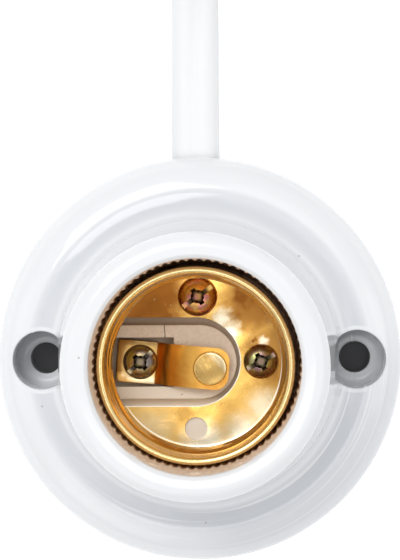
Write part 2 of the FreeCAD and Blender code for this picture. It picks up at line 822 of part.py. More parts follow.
coil = new_body("cord_coil")
coil_form = sketch_on(coil, "XZ_Plane", "coil_form")
rectangle(coil_form, coil_inner, coil_outer, 0, coil_height)
revolve(coil, coil_form)
place(coil, coil_centre_x, coil_distance)


def flat_section(sketch, across, low):
    """Flat cord's section: two straight sides and two half rounds."""
    half = cord_thickness / 2
    straight = cord_width / 2 - half
    outline(sketch, [
        (across - straight, low, half),
        (across + straight, low),
        (across + cord_width / 2, low + half, half),
        (across + straight, low + cord_thickness, half),
        (across - straight, low + cord_thickness),
        (across - cord_width / 2, low + half, half),
    ])


sheath = new_body("cord_run")
sheath_form = sketch_on(sheath, "XZ_Plane", "sheath_form", -sheath_start)
flat_section(sheath_form, cord_side, as_size(0))
sheath_pad = pad(sheath, sheath_form, coil_distance - sheath_start)
sheath_pad.Reversed = True
cord_sheath = doc.addObject("Part::Cut", "cord_sheath")
cord_sheath.Label = "cord_sheath"
cord_sheath.Base = sheath
cord_sheath.Tool = coil

# The end of the cord comes up on the coil and lies on it, with the plug
plug_axis_y = coil_distance + tail_offset
plug_back = coil_centre_x - tail_length
plug_bottom = coil_height
plug_middle = plug_bottom + plug_thickness / 2
tail_start = plug_back - 2 * tail_length
tail_low = plug_bottom + cord_middle
tail_corners = [
    vector(tail_start.value, plug_axis_y.value, tail_low.value),
    vector((tail_start + tail_level).value, plug_axis_y.value, tail_low.value),
    vector((plug_back - tail_end_run).value, plug_axis_y.value, plug_middle.value),
    vector(plug_back.value, plug_axis_y.value, plug_middle.value),
]
tail_straight = ((cord_width - cord_thickness) / 2).value
tail_half = cord_middle.value
tail_spots = [
    vector(0, -tail_straight, -tail_half),
    vector(0, tail_straight, -tail_half),
    vector(0, tail_straight + tail_half, 0),
    vector(0, tail_straight, tail_half),
    vector(0, -tail_straight, tail_half),
    vector(0, -tail_straight - tail_half, 0),
]
tail_section = Part.Wire([
    Part.LineSegment(tail_spots[0], tail_spots[1]).toShape(),
    Part.Arc(tail_spots[1], tail_spots[2], tail_spots[3]).toShape(),
    Part.LineSegment(tail_spots[3], tail_spots[4]).toShape(),
    Part.Arc(tail_spots[4], tail_spots[5], tail_spots[0]).toShape(),
])
tail_section.translate(tail_corners[0])
tail_path = rounded_path(tail_corners)
shape_piece("cord_tail", tail_path.makePipeShell([tail_section], True, False))

plug = new_body("plug_body")
plug_form = sketch_on(plug, "XY_Plane", "plug_form")
front_half = plug_front_width / 2
back_half = plug_back_width / 2
outline(plug_form, [
    (0, -back_half),
    (plug_waist, -back_half),
    (plug_shoulder, -front_half),
    (plug_length, -front_half),
    (plug_length, front_half),
    (plug_shoulder, front_half),
    (plug_waist, back_half),
    (0, back_half),
])
plug_pad = pad(plug, plug_form, plug_thickness)
round_edges(plug, plug_pad, plug_round, lambda edge: abs(edge.BoundBox.ZLength) < 1e-6)
relief_form = sketch_on(plug, "YZ_Plane", "relief_form", -plug_relief)
relief_low = plug_thickness / 2 - cord_thickness / 2 - relief_wall
relief_high = plug_thickness / 2 + cord_thickness / 2 + relief_wall
relief_half = cord_width / 2 + relief_wall
rectangle(relief_form, -relief_half, relief_half, relief_low, relief_high)
pad(plug, relief_form, plug_relief + plug_round)
sleeve_form = sketch_on(plug, "YZ_Plane", "sleeve_form", plug_length)
for side in (1, -1):
    round_hole(sleeve_form, side * (pin_spacing / 2), plug_thickness / 2, pin_radius)
pad(plug, sleeve_form, pin_sleeve)
pin_bores = sketch_on(plug, "YZ_Plane", "pin_bores", plug_length + pin_sleeve)
bore = pin_radius - pin_sleeve_wall
for side in (1, -1):
    round_hole(pin_bores, side * (pin_spacing / 2), plug_thickness / 2, bore)
pocket(plug, pin_bores, pin_sleeve + pin_seat)
place(plug, plug_back + plug_relief, plug_axis_y, plug_bottom)

for name, side in (("live", 1), ("neutral", -1)):
    pin = new_body(f"plug_pin_{name}")
    pin_form = sketch_on(pin, "XZ_Plane", f"{name}_pin_form")
    inside = pin_seat + pin_sleeve
    outline(pin_form, [
        (0, pin_length + pin_seat),
        (0, 0),
        (bore, 0),
        (bore, inside),
        (pin_radius, inside),
        (pin_radius, pin_length + pin_seat - pin_tip_bevel),
        (pin_tip_radius, pin_length + pin_seat),
    ])
    revolve(pin, pin_form)
    pin.Placement = FreeCAD.Placement(vector(0, 0, 0), FreeCAD.Rotation(vector(0, 1, 0), 90))
    pin.setExpression("Placement.Base.x", (plug_back + plug_relief + plug_length - pin_seat).text)
    pin.setExpression("Placement.Base.y", (plug_axis_y + side * (pin_spacing / 2)).text)
    pin.setExpression("Placement.Base.z", plug_middle.text)

doc.recompute()

pieces = [
    "ceramic_body",
    "screw_shell",
    "shell_screw_top",
    "shell_screw_side",
    "contact_tongue",
    "contact_button",
    "contact_clamp_plate",
    "contact_screw",
    "live_terminal",
    "neutral_terminal",
    "live_wire_screw",
    "neutral_wire_screw",
    "live_wire_washer",
    "neutral_wire_washer",
    "live_conductor",
    "neutral_conductor",
    "live_core",
    "neutral_core",
    "cord_sheath",
    "cord_coil",
    "cord_tail",
    "plug_body",
    "plug_pin_live",
    "plug_pin_neutral",
]

for item in doc.Objects:
    if "Invalid" in item.State or "Error" in item.State:
        raise RuntimeError(f"{item.Label} did not compute: {item.State}")
os.makedirs("parts", exist_ok=True)
for label in pieces:
    piece = doc.getObjectsByLabel(label)[0]
    shape = piece.Shape
    if shape.isNull() or not shape.isValid() or not shape.Solids:
        raise RuntimeError(f"{label} has no valid solid")
    shape.exportStep(f"parts/{label}.step")
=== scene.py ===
import math

import bmesh
import bpy
from mathutils import Matrix, Vector
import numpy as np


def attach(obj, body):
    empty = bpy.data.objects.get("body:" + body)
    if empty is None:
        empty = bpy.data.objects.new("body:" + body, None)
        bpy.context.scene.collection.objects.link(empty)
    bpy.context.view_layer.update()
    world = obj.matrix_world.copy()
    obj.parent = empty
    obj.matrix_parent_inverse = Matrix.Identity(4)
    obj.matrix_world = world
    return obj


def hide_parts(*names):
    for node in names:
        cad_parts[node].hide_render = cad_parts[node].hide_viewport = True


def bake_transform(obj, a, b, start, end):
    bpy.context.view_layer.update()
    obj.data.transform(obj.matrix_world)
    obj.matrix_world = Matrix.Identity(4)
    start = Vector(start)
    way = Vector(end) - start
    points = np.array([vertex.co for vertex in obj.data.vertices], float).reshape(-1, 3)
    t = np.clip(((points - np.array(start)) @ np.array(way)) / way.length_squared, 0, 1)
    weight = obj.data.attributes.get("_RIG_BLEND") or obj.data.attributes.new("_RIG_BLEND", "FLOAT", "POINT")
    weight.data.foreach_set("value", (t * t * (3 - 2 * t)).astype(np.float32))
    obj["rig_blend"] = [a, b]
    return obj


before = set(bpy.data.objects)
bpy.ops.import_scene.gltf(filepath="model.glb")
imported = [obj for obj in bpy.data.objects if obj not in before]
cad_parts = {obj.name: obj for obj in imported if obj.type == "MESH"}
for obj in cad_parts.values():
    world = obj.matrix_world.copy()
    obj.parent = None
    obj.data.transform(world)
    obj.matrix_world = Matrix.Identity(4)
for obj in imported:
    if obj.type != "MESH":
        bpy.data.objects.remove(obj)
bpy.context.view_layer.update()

# Camera: looks straight down on the holder from 0.39 m above the floor, a little off the holder's
# axis towards the cord, as the photograph was taken.
camera_data = bpy.data.cameras.new("camera")
camera_data.sensor_width = 36.0
camera_data.lens = 161.3
camera_data.clip_start = 0.01
camera_data.clip_end = 10.0
camera = bpy.data.objects.new("camera", camera_data)
camera.location = (0.00816, 0.01479, 0.39419)
camera.rotation_euler = (-0.00711, 0.0208, -0.0045)
bpy.context.scene.collection.objects.link(camera)
bpy.context.scene.camera = camera
bpy.context.scene.view_settings.view_transform = "Standard"

# Floor: a white sheet of card under the holder. It shows white to the camera and in reflections and
# keeps the holder's shadow. Under the foot the card is painted dark as painted shade, which shows
# through the fixing holes only.
card_white = (0.86, 0.86, 0.86, 1)
card_painted_shade_under_foot = (0.15, 0.15, 0.155, 1)
card_size = 3.0
card_level = -0.0002
under_foot_radius = 0.028


class Signal:
    """One output of a node tree. Arithmetic on it adds Math nodes."""

    def __init__(self, tree, socket):
        self.tree = tree
        self.socket = socket

    def node(self, kind, settings, inputs, output=0):
        """Adds a node of any type, with its properties and its socket values or links."""
        made = self.tree.nodes.new(kind)
        for name, value in settings.items():
            setattr(made, name, value)
        for key, value in inputs.items():
            if isinstance(value, Signal):
                self.tree.links.new(value.socket, made.inputs[key])
            else:
                made.inputs[key].default_value = value
        return Signal(self.tree, made.outputs[output])

    def maths(self, operation, first, second=0.0):
        return self.node("ShaderNodeMath", {"operation": operation}, {0: first, 1: second})

    def __add__(self, other):
        return self.maths("ADD", self, other)

    def __radd__(self, other):
        return self.maths("ADD", other, self)

    def __sub__(self, other):
        return self.maths("SUBTRACT", self, other)

    def __rsub__(self, other):
        return self.maths("SUBTRACT", other, self)

    def __mul__(self, other):
        return self.maths("MULTIPLY", self, other)

    def __rmul__(self, other):
        return self.maths("MULTIPLY", other, self)

    def __truediv__(self, other):
        return self.maths("DIVIDE", self, other)

    def __pow__(self, other):
        return self.maths("POWER", self, other)

    def part(self, axis):
        """X, Y or Z of a vector."""
        return self.node("ShaderNodeSeparateXYZ", {}, {0: self}, "XYZ".index(axis))

    def length(self):
        """The length of a vector."""
        return self.node("ShaderNodeVectorMath", {"operation": "LENGTH"}, {0: self}, 1)

    def stretched(self, x, y, z):
        """A vector with each of its parts scaled."""
        return self.node("ShaderNodeVectorMath", {"operation": "MULTIPLY"}, {0: self, 1: (x, y, z)})

    def ramp(self, start, end, low=0.0, high=1.0):
        """A smooth step from low to high while the value goes from start to end."""
        return self.node(
            "ShaderNodeMapRange",
            {"interpolation_type": "SMOOTHSTEP"},
            {"Value": self, "From Min": start, "From Max": end, "To Min": low, "To Max": high},
        )

    def noise(self, scale, detail=3.0, roughness=0.55, lift=0.0):
        """Noise from 0 to 1 at a vector. The scale is in cells a metre."""
        moved = self.node("ShaderNodeVectorMath", {"operation": "ADD"}, {0: self, 1: (lift, lift, lift)})
        return self.node(
            "ShaderNodeTexNoise",
            {},
            {"Vector": moved, "Scale": scale, "Detail": detail, "Roughness": roughness},
        )

    def bump(self, distance, **inputs):
        """A surface normal from this value as a height, for a depth in metres at a height of 1."""
        return self.node(
            "ShaderNodeBump",
            {},
            {"Strength": 1.0, "Distance": distance, "Height": self, **inputs},
        )

    def mix(self, first, second):
        """A colour between two colours, by this value."""
        return self.node("ShaderNodeMix", {"data_type": "RGBA"}, {0: self, 6: first, 7: second}, 2)


def new_material(name):
    """A material, its main shader and the object coordinates as a Signal."""
    made = bpy.data.materials.new(name)
    made.use_nodes = True
    tree = made.node_tree
    start = Signal(tree, None)
    return made, tree.nodes["Principled BSDF"], start.node("ShaderNodeTexCoord", {}, {}, 3)


def wire(shader, **inputs):
    """Sets or links the sockets of a shader; an underscore stands for a space."""
    for name, value in inputs.items():
        socket = shader.inputs[name.replace("_", " ")]
        if isinstance(value, Signal):
            value.tree.links.new(value.socket, socket)
        else:
            socket.default_value = value


bpy.ops.mesh.primitive_plane_add(size=card_size, location=(0, 0, card_level))
floor = bpy.context.object
floor.name = "floor"
card, shader, place = new_material("white_card")
# Under the foot the card is painted dark: painted shade, seen through the fixing holes.
beyond = place.length().ramp(under_foot_radius, under_foot_radius + 0.002)
wire(shader, Base_Color=beyond.mix(card_painted_shade_under_foot, card_white))
wire(shader, Roughness=0.9, Specular_IOR_Level=0.1, Emission_Strength=0.5)
camera_ray = place.node("ShaderNodeLightPath", {}, {}, 0)
ray_kinds = camera_ray.socket.node.outputs
seen = camera_ray.maths("MAXIMUM", camera_ray, Signal(camera_ray.tree, ray_kinds["Is Glossy Ray"]))
seen = seen.maths("MAXIMUM", seen, Signal(camera_ray.tree, ray_kinds["Is Transmission Ray"]))
wire(shader, Emission_Color=(seen * beyond).mix((0, 0, 0, 1), (1, 1, 1, 1)))
floor.data.materials.append(card)

# Light: a plain studio of white walls, with two soft boxes behind the holder, one at each side, one
# at its front left and one overhead, as the shading of the photograph's porcelain shows.
wall_white = (0.955, 0.975, 1.0, 1)
wall_strength = 0.58
light_target = Vector((0, 0, 0.02))
world = bpy.data.worlds.new("studio")
bpy.context.scene.world = world
world.use_nodes = True
world.node_tree.nodes["Background"].inputs["Color"].default_value = wall_white
world.node_tree.nodes["Background"].inputs["Strength"].default_value = wall_strength
for name, location, breadth, depth, power in (
    ("box_back_left", (-0.187, 0.325, 0.670), 0.35, 0.35, 1.66),
    ("box_back_right", (0.187, 0.325, 0.670), 0.35, 0.35, 0.28),
    ("box_overhead", (0.03, -0.13, 0.72), 0.30, 0.18, 0.42),
    ("box_left", (-0.636, 0.0, 0.417), 0.45, 0.45, 0.29),
    ("box_right", (0.636, 0.0, 0.417), 0.45, 0.45, 0.56),
    ("box_front_left", (-0.318, -0.551, 0.417), 0.45, 0.45, 0.44),
):
    lamp_data = bpy.data.lights.new(name, "AREA")
    lamp_data.shape = "RECTANGLE"
    lamp_data.size = breadth
    lamp_data.size_y = depth
    lamp_data.energy = power
    lamp = bpy.data.objects.new(name, lamp_data)
    lamp.location = location
    lamp.rotation_euler = (light_target - lamp.location).to_track_quat("-Z", "Y").to_euler()
    bpy.context.scene.collection.objects.link(lamp)

# Porcelain body: one pressed piece of white glazed porcelain, foot, neck and floor together. The
# glaze is left off the fluted bore, the floor under the contact and the back, where the pink-beige
# body shows. Two bowls in the shoulder take the heads of the fixing screws.
glaze_white = (0.90, 0.905, 0.915, 1)
glaze_pooled_and_painted_shade = (0.70, 0.71, 0.74, 1)
glaze_painted_bowl_shade = (0.33, 0.335, 0.35, 1)
glaze_worn = (0.22, 0.225, 0.235, 1)
glaze_painted_streak_highlight = (0.98, 0.98, 0.98, 1)
bare_light = (0.93, 0.74, 0.57, 1)
bare_dark = (0.80, 0.60, 0.44, 1)
bare_floor_painted_light = (1.0, 0.90, 0.78, 1)
painted_light_in_spare_hole = (1.0, 0.96, 0.90, 1)
crack_brown = (0.16, 0.10, 0.07, 1)
stain_and_shade_brown = (0.25, 0.17, 0.11, 1)
speck_brown = (0.25, 0.21, 0.18, 1)
shoulder_level = 0.0130
shoulder_start = 0.0254
bore_edge = 0.01545
space_radius = 0.0252
space_side_top = 0.0090
space_slope = 1.75
bowl_offset = 0.0240
bowl_floor = 0.0036
bowl_corner_round = 0.0013
root_radius = 0.0242
root_breadth = 0.0021
crack_side = -0.0049
spare_hole_x = -0.0003
spare_hole_y = -0.0100
floor_level_inside = 0.0210
speck_places = (
    (0.00092, -0.02479),
    (0.00086, -0.03080),
    (-0.01627, 0.00145),
    (-0.02390, -0.00702),
    (0.01522, 0.01567),
    (0.03040, 0.00215),
)
worn_places = (
    (0.0206, 0.0041, 0.0004, 0.0013),
    (0.0206, -0.0047, 0.0004, 0.0013),
    (-0.0209, 0.0038, 0.0002, 0.0009),
    (-0.0209, -0.0041, 0.0002, 0.0008),
)


def copy_of_node(name):
    """A CAD node's mesh, merged so that its faces can be shaded together."""
    shape = bmesh.new()
    shape.from_mesh(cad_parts[name].data)
    bmesh.ops.remove_doubles(shape, verts=shape.verts, dist=1e-6)
    return shape


def finished(name, shape, finish, slot, *nodes, sharp=35, body="holder"):
    """Makes an object of a bmesh, with smooth shading up to the sharp angle in degrees."""
    mesh = bpy.data.meshes.new(name)
    shape.to_mesh(mesh)
    shape.free()
    for stored in [layer for layer in mesh.attributes if layer.name == "custom_normal"]:
        mesh.attributes.remove(stored)
    mesh.shade_smooth()
    mesh.set_sharp_from_angle(angle=math.radians(sharp))
    mesh.materials.append(finish)
    made = bpy.data.objects.new(name, mesh)
    bpy.context.scene.collection.objects.link(made)
    if body:
        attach(made, body)
    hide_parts(*nodes)
    return made


def within(first, second):
    """Where both masks hold."""
    return first.maths("MINIMUM", first, second)


def either(first, *others):
    """Where one mask or another holds."""
    for other in others:
        first = first.maths("MAXIMUM", first, other)
    return first


def spot(place, x, y, inner, outer):
    """A mask that is 1 inside one distance from an upright line at x, y and 0 outside another."""
    across = place.part("X") - x
    along = place.part("Y") - y
    return ((across * across + along * along) ** 0.5).ramp(inner, outer, 1.0, 0.0)


porcelain, shader, place = new_material("glazed_porcelain")
side = place.part("X")
ahead = place.part("Y")
height = place.part("Z")
radius = (side * side + ahead * ahead) ** 0.5
grain = place.noise(1600, 4.0, 0.6)

# Where the glaze is left off
drip = place.noise(260, 2.0)
bore = within(
    radius.ramp(bore_edge + 0.0001, bore_edge - 0.0001),
    (height + drip * 0.0009).ramp(0.04150, 0.04125),
)
space_wall = space_radius - space_slope * either(height - space_side_top, height * 0)
space = within(
    (radius - space_wall).ramp(0.0, -0.0002),
    height.ramp(shoulder_level + 0.0010, shoulder_level + 0.0008),
)
bowls = either(
    spot(place, bowl_offset, 0, 0.0050, 0.0052),
    spot(place, -bowl_offset, 0, 0.0050, 0.0052),
)
bowls = within(bowls, height.ramp(0.0004, 0.0006))
back = height.ramp(0.00012, 0.00006)
bare = either(bore, within(space, 1 - bowls), back)

# The bare body: grainy, with painted light on the floor that is stronger towards the front, pitted and
# cracked, stained brown with painted shade on the walls along the slot, and with painted light where
# it shows through the shell's spare hole
body_colour = grain.ramp(0.35, 0.65).mix(bare_dark, bare_light)
# Painted light on the bare floor, stronger towards the front.
floor_painted_light = within(height.ramp(0.0225, 0.0220), height.ramp(0.0150, 0.0160))
floor_painted_light = floor_painted_light * ahead.ramp(0.004, -0.004, 0.5, 1.0)
body_colour = floor_painted_light.mix(body_colour, bare_floor_painted_light)
pits = within(place.noise(2600, 2.0, 0.5, 0.3).ramp(0.70, 0.76), height.ramp(0.0160, 0.0180))
off_crack = side - crack_side + (place.noise(500, 3.0) - 0.5) * 0.0006
crack = within(
    off_crack.maths("ABSOLUTE", off_crack).ramp(0.00004, 0.00010, 1.0, 0.0),
    within(
        ahead.ramp(0.0030, 0.0033),
        within(
            height.ramp(floor_level_inside - 0.0005, floor_level_inside),
            height.ramp(floor_level_inside + 0.0025, floor_level_inside + 0.0020),
        ),
    ),
)
body_colour = either(pits * 0.7, crack).mix(body_colour, crack_brown)
# Brown stain and painted shade on the pocket's walls along the slot.
stain_and_painted_shade = within(
    within(side.ramp(0.0072, 0.0066), ahead.ramp(-0.0060, -0.0050)),
    within(height.ramp(0.0213, 0.0211), height.ramp(0.0185, 0.0190)),
)
body_colour = (stain_and_painted_shade * 0.6).mix(body_colour, stain_and_shade_brown)
# Painted light on the bare body seen through the shell's spare hole.
spare_hole_painted_light = spot(place, spare_hole_x, spare_hole_y, 0.0018, 0.0022) * height.ramp(0.0175, 0.0185)
body_colour = spare_hole_painted_light.mix(body_colour, painted_light_in_spare_hole)

# The glaze: pooled grey round the neck's root, with painted shade there that is stronger on the lower
# side, painted shade in the neck's lee and in the bowls, worn at the bowls' edges, painted highlight
# streaks along the turning lines and specked
# Pooled glaze round the neck's root, with painted shade in that crease that is stronger on the lower side.
pooled_and_painted_shade = (radius - root_radius) / root_breadth
pooled_and_painted_shade = either(1 - pooled_and_painted_shade * pooled_and_painted_shade, radius * 0) * height.ramp(0.0115, 0.0125) * (1 - bowls)
# Painted shade in the neck's lee, towards the lower right.
painted_lee_shade = within((side * 0.8 - ahead).ramp(0.016, 0.030), radius.ramp(0.0225, 0.0250))
painted_lee_shade = painted_lee_shade * (side + 0.002).ramp(0.0, 0.010)
lower_side = (side * 0.6 - ahead).ramp(0.004, 0.020)
glaze_colour = (pooled_and_painted_shade * (0.78 + lower_side * 0.2) + painted_lee_shade * 0.4).mix(glaze_white, glaze_pooled_and_painted_shade)
# Painted shade on the bowls' upper-left walls, darker deeper down.
bowl_shade = either(
    spot(place, bowl_offset, 0, 0.00450, 0.00458)
    * (ahead * 0.7 - (side - bowl_offset) * 0.7).ramp(-0.0020, 0.0040),
    spot(place, -bowl_offset, 0, 0.00450, 0.00458)
    * (ahead * 0.6 - (side + bowl_offset) * 0.8).ramp(-0.0030, 0.0036),
)
bowl_shade = bowl_shade * height.ramp(0.0118, 0.0085)
glaze_colour = (bowl_shade * 0.8).mix(glaze_colour, glaze_painted_bowl_shade)
worn = either(*[spot(place, *worn_place) for worn_place in worn_places])
worn = worn * place.noise(900, 4.0, 0.7).ramp(0.44, 0.60) * height.ramp(0.0170, 0.0148)
glaze_colour = (worn * 0.7).mix(glaze_colour, glaze_worn)
throwing = place.node("ShaderNodeCombineXYZ", {}, {0: radius * 3, 1: height * 2, 2: side * 0.05})
# Painted highlight streaks along the turning lines, on the lower side only.
painted_highlight_streaks = throwing.noise(520, 2.0, 0.5, 0.4).ramp(0.60, 0.70) * lower_side
painted_highlight_streaks = painted_highlight_streaks * radius.ramp(0.0215, 0.0235) * radius.ramp(0.0295, 0.0280)
glaze_colour = (painted_highlight_streaks * 0.8).mix(glaze_colour, glaze_painted_streak_highlight)
specks = either(*[spot(place, x, y, 0.00008, 0.00022) for x, y in speck_places])
specks = specks * height.ramp(0.0098, 0.0104)
glaze_colour = (specks * 0.5).mix(glaze_colour, speck_brown)

wire(shader, Base_Color=bare.mix(glaze_colour, body_colour))
wire(shader, Roughness=bare * 0.62 + place.noise(300, 2.0) * 0.06 + 0.06)
wave = place.noise(110, 1.0) * 0.7 + throwing.noise(330, 2.0) * lower_side * 0.3 + bare * grain * 0.35
rounded = place.node("ShaderNodeBevel", {"samples": 6}, {"Radius": 0.0004})
wire(shader, Normal=wave.bump(0.00007, Normal=rounded))

# The bore is a little out of round towards one side, and the mouth's edge is longer along the cord
bore_bulge = 0.030
bulge_direction = Vector((0.5, 0.87))
mouth_stretch = 1.018
porcelain_shape = copy_of_node("ceramic_body")
for corner in porcelain_shape.verts:
    out = corner.co.xy.length
    if shoulder_start - 0.00005 < out < 0.02575 and 0.0129 < corner.co.z < 0.01302:
        corner.co.xy *= shoulder_start / out
        corner.co.z = shoulder_level
    if out < 0.01495 and 0.0216 < corner.co.z < 0.0408:
        facing = corner.co.xy.normalized().dot(bulge_direction)
        corner.co.xy *= 1 + bore_bulge * min(max(facing + 0.35, 0), 1)
    if out < 0.0162 and corner.co.z > 0.0400:
        corner.co.y *= mouth_stretch
bmesh.ops.remove_doubles(porcelain_shape, verts=porcelain_shape.verts, dist=1e-6)
bmesh.ops.dissolve_degenerate(porcelain_shape, dist=1e-6, edges=porcelain_shape.edges)


def on_bowl_corner(corner):
    """Whether a corner lies where a bowl's wall meets its floor."""
    out = math.hypot(abs(corner.co.x) - bowl_offset, corner.co.y)
    return abs(corner.co.z - bowl_floor) < 0.00002 and 0.0037 < out < 0.0046


bowl_corners = [edge for edge in porcelain_shape.edges if all(map(on_bowl_corner, edge.verts))]
bmesh.ops.bevel(
    porcelain_shape,
    geom=bowl_corners,
    offset=bowl_corner_round,
    offset_type="OFFSET",
    segments=6,
    profile=0.5,
    affect="EDGES",
    material=-1,
    clamp_overlap=True,
)
finished("porcelain_body", porcelain_shape, porcelain, "porcelain_glaze", "ceramic_body")

# Screw shell: one cup drawn from brass sheet, with the lamp's thread rolled into its wall and its rim
# rolled over. Its bottom is slotted round the contact, held by two screws, and has a spare hole. The
# brass is tarnished in blotches and pitted. Its bottom carries patches of painted shade and painted
# highlight, its wall and rim are painted lighter as painted light, and a painted highlight runs along
# the lit side of the slot's and the rim's edges.
brass_gold = (0.84, 0.50, 0.13, 1)
brass_pale = (1.0, 0.92, 0.72, 1)
brass_tarnish_and_shade = (0.28, 0.10, 0.017, 1)
brass_painted_light_wall = (1.0, 0.78, 0.38, 1)
brass_painted_edge_highlight = (1.0, 0.96, 0.86, 1)
plate_level = 0.0202
plate_rim = 0.01252
slot_end_middle = -0.0003
slot_end_radius = 0.0066
patch_wander = 0.0019
painted_shade_patches = (
    (-0.0105, 0.0075, 0.0045, 0.0100, 1.0),
    (-0.0060, 0.0100, 0.0020, 0.0070, 1.0),
    (0.0085, 0.0032, 0.0001, 0.0010, 1.0),
    (0.0120, 0.0010, 0.0030, 0.0070, 0.7),
    (0.0085, 0.0090, 0.0025, 0.0070, 0.85),
    (-0.0020, -0.0078, 0.0003, 0.0020, 0.4),
)
painted_highlight_patches = (
    (0.0036, 0.0064, 0.0002, 0.0022, 1.0),
    (0.0050, 0.0046, 0.0002, 0.0020, 1.0),
    (0.0097, 0.0031, 0.0001, 0.0009, 1.0),
    (0.0010, -0.0130, 0.0010, 0.0054, 1.0),
    (-0.0070, -0.0105, 0.0010, 0.0050, 0.3),
    (0.0070, -0.0110, 0.0004, 0.0046, 1.0),
    (0.0100, -0.0070, 0.0004, 0.0040, 0.75),
)


def patches(place, rows):
    """Spots from rows of x, y, inner radius, outer radius and strength."""
    return either(*[spot(place, x, y, inner, outer) * share for x, y, inner, outer, share in rows])


shell_brass, shader, place = new_material("shell_brass")
side = place.part("X")
ahead = place.part("Y")
height = place.part("Z")
on_plate = height.ramp(plate_level + 0.0002, plate_level)
blotches = place.noise(240, 4.0, 0.6)
grain = place.noise(2400, 3.0, 0.7)
wander = place.node("ShaderNodeTexNoise", {}, {"Vector": place, "Scale": 900.0, "Detail": 3.0}, 1)
wander = wander.node("ShaderNodeVectorMath", {"operation": "SUBTRACT"}, {0: wander, 1: (0.5, 0.5, 0.5)})
wander = wander.node("ShaderNodeVectorMath", {"operation": "SCALE"}, {0: wander, "Scale": patch_wander})
ragged = place.node("ShaderNodeVectorMath", {"operation": "ADD"}, {0: place, 1: wander})
# Tarnish in blotches, and patches of painted shade and painted highlight on the bottom.
tarnish_and_painted_shade = patches(ragged, painted_shade_patches) * on_plate + blotches.ramp(0.45, 0.75) * 0.35
painted_highlights = patches(ragged, painted_highlight_patches) * on_plate
grainy = spot(place, 0.0085, -0.0075, 0.0010, 0.0045) * on_plate
colour = (tarnish_and_painted_shade * (1 - painted_highlights)).mix(brass_gold, brass_tarnish_and_shade)
# Painted light on the wall, stronger on the rim.
wall_and_rim_painted_light = (1 - on_plate) * (0.75 + height.ramp(0.0335, 0.0345) * 0.25)
colour = wall_and_rim_painted_light.mix(colour, brass_painted_light_wall)
colour = (painted_highlights * 0.9 + grain.ramp(0.66, 0.72) * 0.7).mix(colour, brass_pale)
past_middle = either(side - slot_end_middle, height * 0)
off_slot = (past_middle * past_middle + ahead * ahead) ** 0.5 - slot_end_radius
lit_side = side * 0.6 - ahead
# Painted highlight along the slot's and the rim's edges, on the lit side only.
slot_edge_highlight = within(off_slot.ramp(0.00020, 0.00008), lit_side.ramp(-0.0040, 0.0010))
rim_edge_highlight = within(
    spot(place, 0, 0, plate_rim + 0.00010, plate_rim + 0.00018) * lit_side.ramp(-0.0020, 0.0040),
    1 - spot(place, 0, 0, plate_rim - 0.00010, plate_rim),
)
edge_highlight = either(slot_edge_highlight, rim_edge_highlight) * on_plate
colour = (edge_highlight * 0.85).mix(colour, brass_painted_edge_highlight)
wire(shader, Base_Color=colour, Metallic=1.0)
wire(shader, Roughness=0.17 + blotches * 0.12 + tarnish_and_painted_shade * 0.15 + grainy * 0.1 + edge_highlight * 0.2)
dent = spot(place, 0.0046, 0.0048, 0.0002, 0.0034) * on_plate * 1.6
uneven = place.noise(170, 2.0, 0.5, 0.7) + grain * (0.05 + grainy * 0.12) + dent
wire(shader, Normal=uneven.bump(0.00012))
finished("threaded_shell", copy_of_node("screw_shell"), shell_brass, "shell_brass", "screw_shell")

# Screws: pan heads with a straight slot and a cross recess, with painted shade down in the middle. The
# one at twelve o'clock is yellow-zinced steel, the others are duller. Two hold the shell, one holds
# the contact and two at the back hold the wires.
head_height = 0.0017
head_outline = (
    (0.0, 1.0),
    (0.30, 0.985),
    (0.52, 0.93),
    (0.70, 0.83),
    (0.84, 0.67),
    (0.94, 0.46),
    (0.99, 0.22),
    (1.0, 0.10),
    (0.97, 0.0),
)
shank_radius = 0.0015
shank_end_radius = 0.0011
shank_end_taper = 0.0004
slot_width = 0.00072
slot_depth = 0.00075
slot_block_height = 0.0018
cross_arm_size = (0.0032, 0.00080, 0.0016)
cross_arm_taper = (0.55, 0.75, 1.0)
cross_middle_radii = (0.00060, 0.00118)
cross_middle_depth = 0.0012
recess_painted_shade = (0.030, 0.020, 0.012, 1)
twelve_place = (0.0, 0.0097)
three_place = (0.0094, 0.0)
contact_screw_place = (-0.00855, 0.0)
shell_screw_seat = 0.0200
contact_screw_seat = 0.0208
front_screw_end = 0.0106
wire_screw_seat = 0.0095
wire_screw_end = 0.0130


def turned(points):
    """A solid spun about the upright axis from its outline, which starts and ends on the axis."""
    shape = bmesh.new()
    corners = [shape.verts.new((out, 0, up)) for out, up in points]
    edges = [shape.edges.new(pair) for pair in zip(corners, corners[1:])]
    bmesh.ops.spin(
        shape,
        geom=corners + edges,
        cent=(0, 0, 0),
        axis=(0, 0, 1),
        angle=math.tau,
        steps=56,
        use_merge=True,
    )
    bmesh.ops.remove_doubles(shape, verts=shape.verts, dist=1e-7)
    bmesh.ops.recalc_face_normals(shape, faces=shape.faces)
    return shape


def rotate(shape, corners, degrees, axis="Z"):
    """Turns corners of a bmesh about one of the scene's axes."""
    matrix = Matrix.Rotation(math.radians(degrees), 3, axis)
    bmesh.ops.rotate(shape, cent=(0, 0, 0), matrix=matrix, verts=corners)


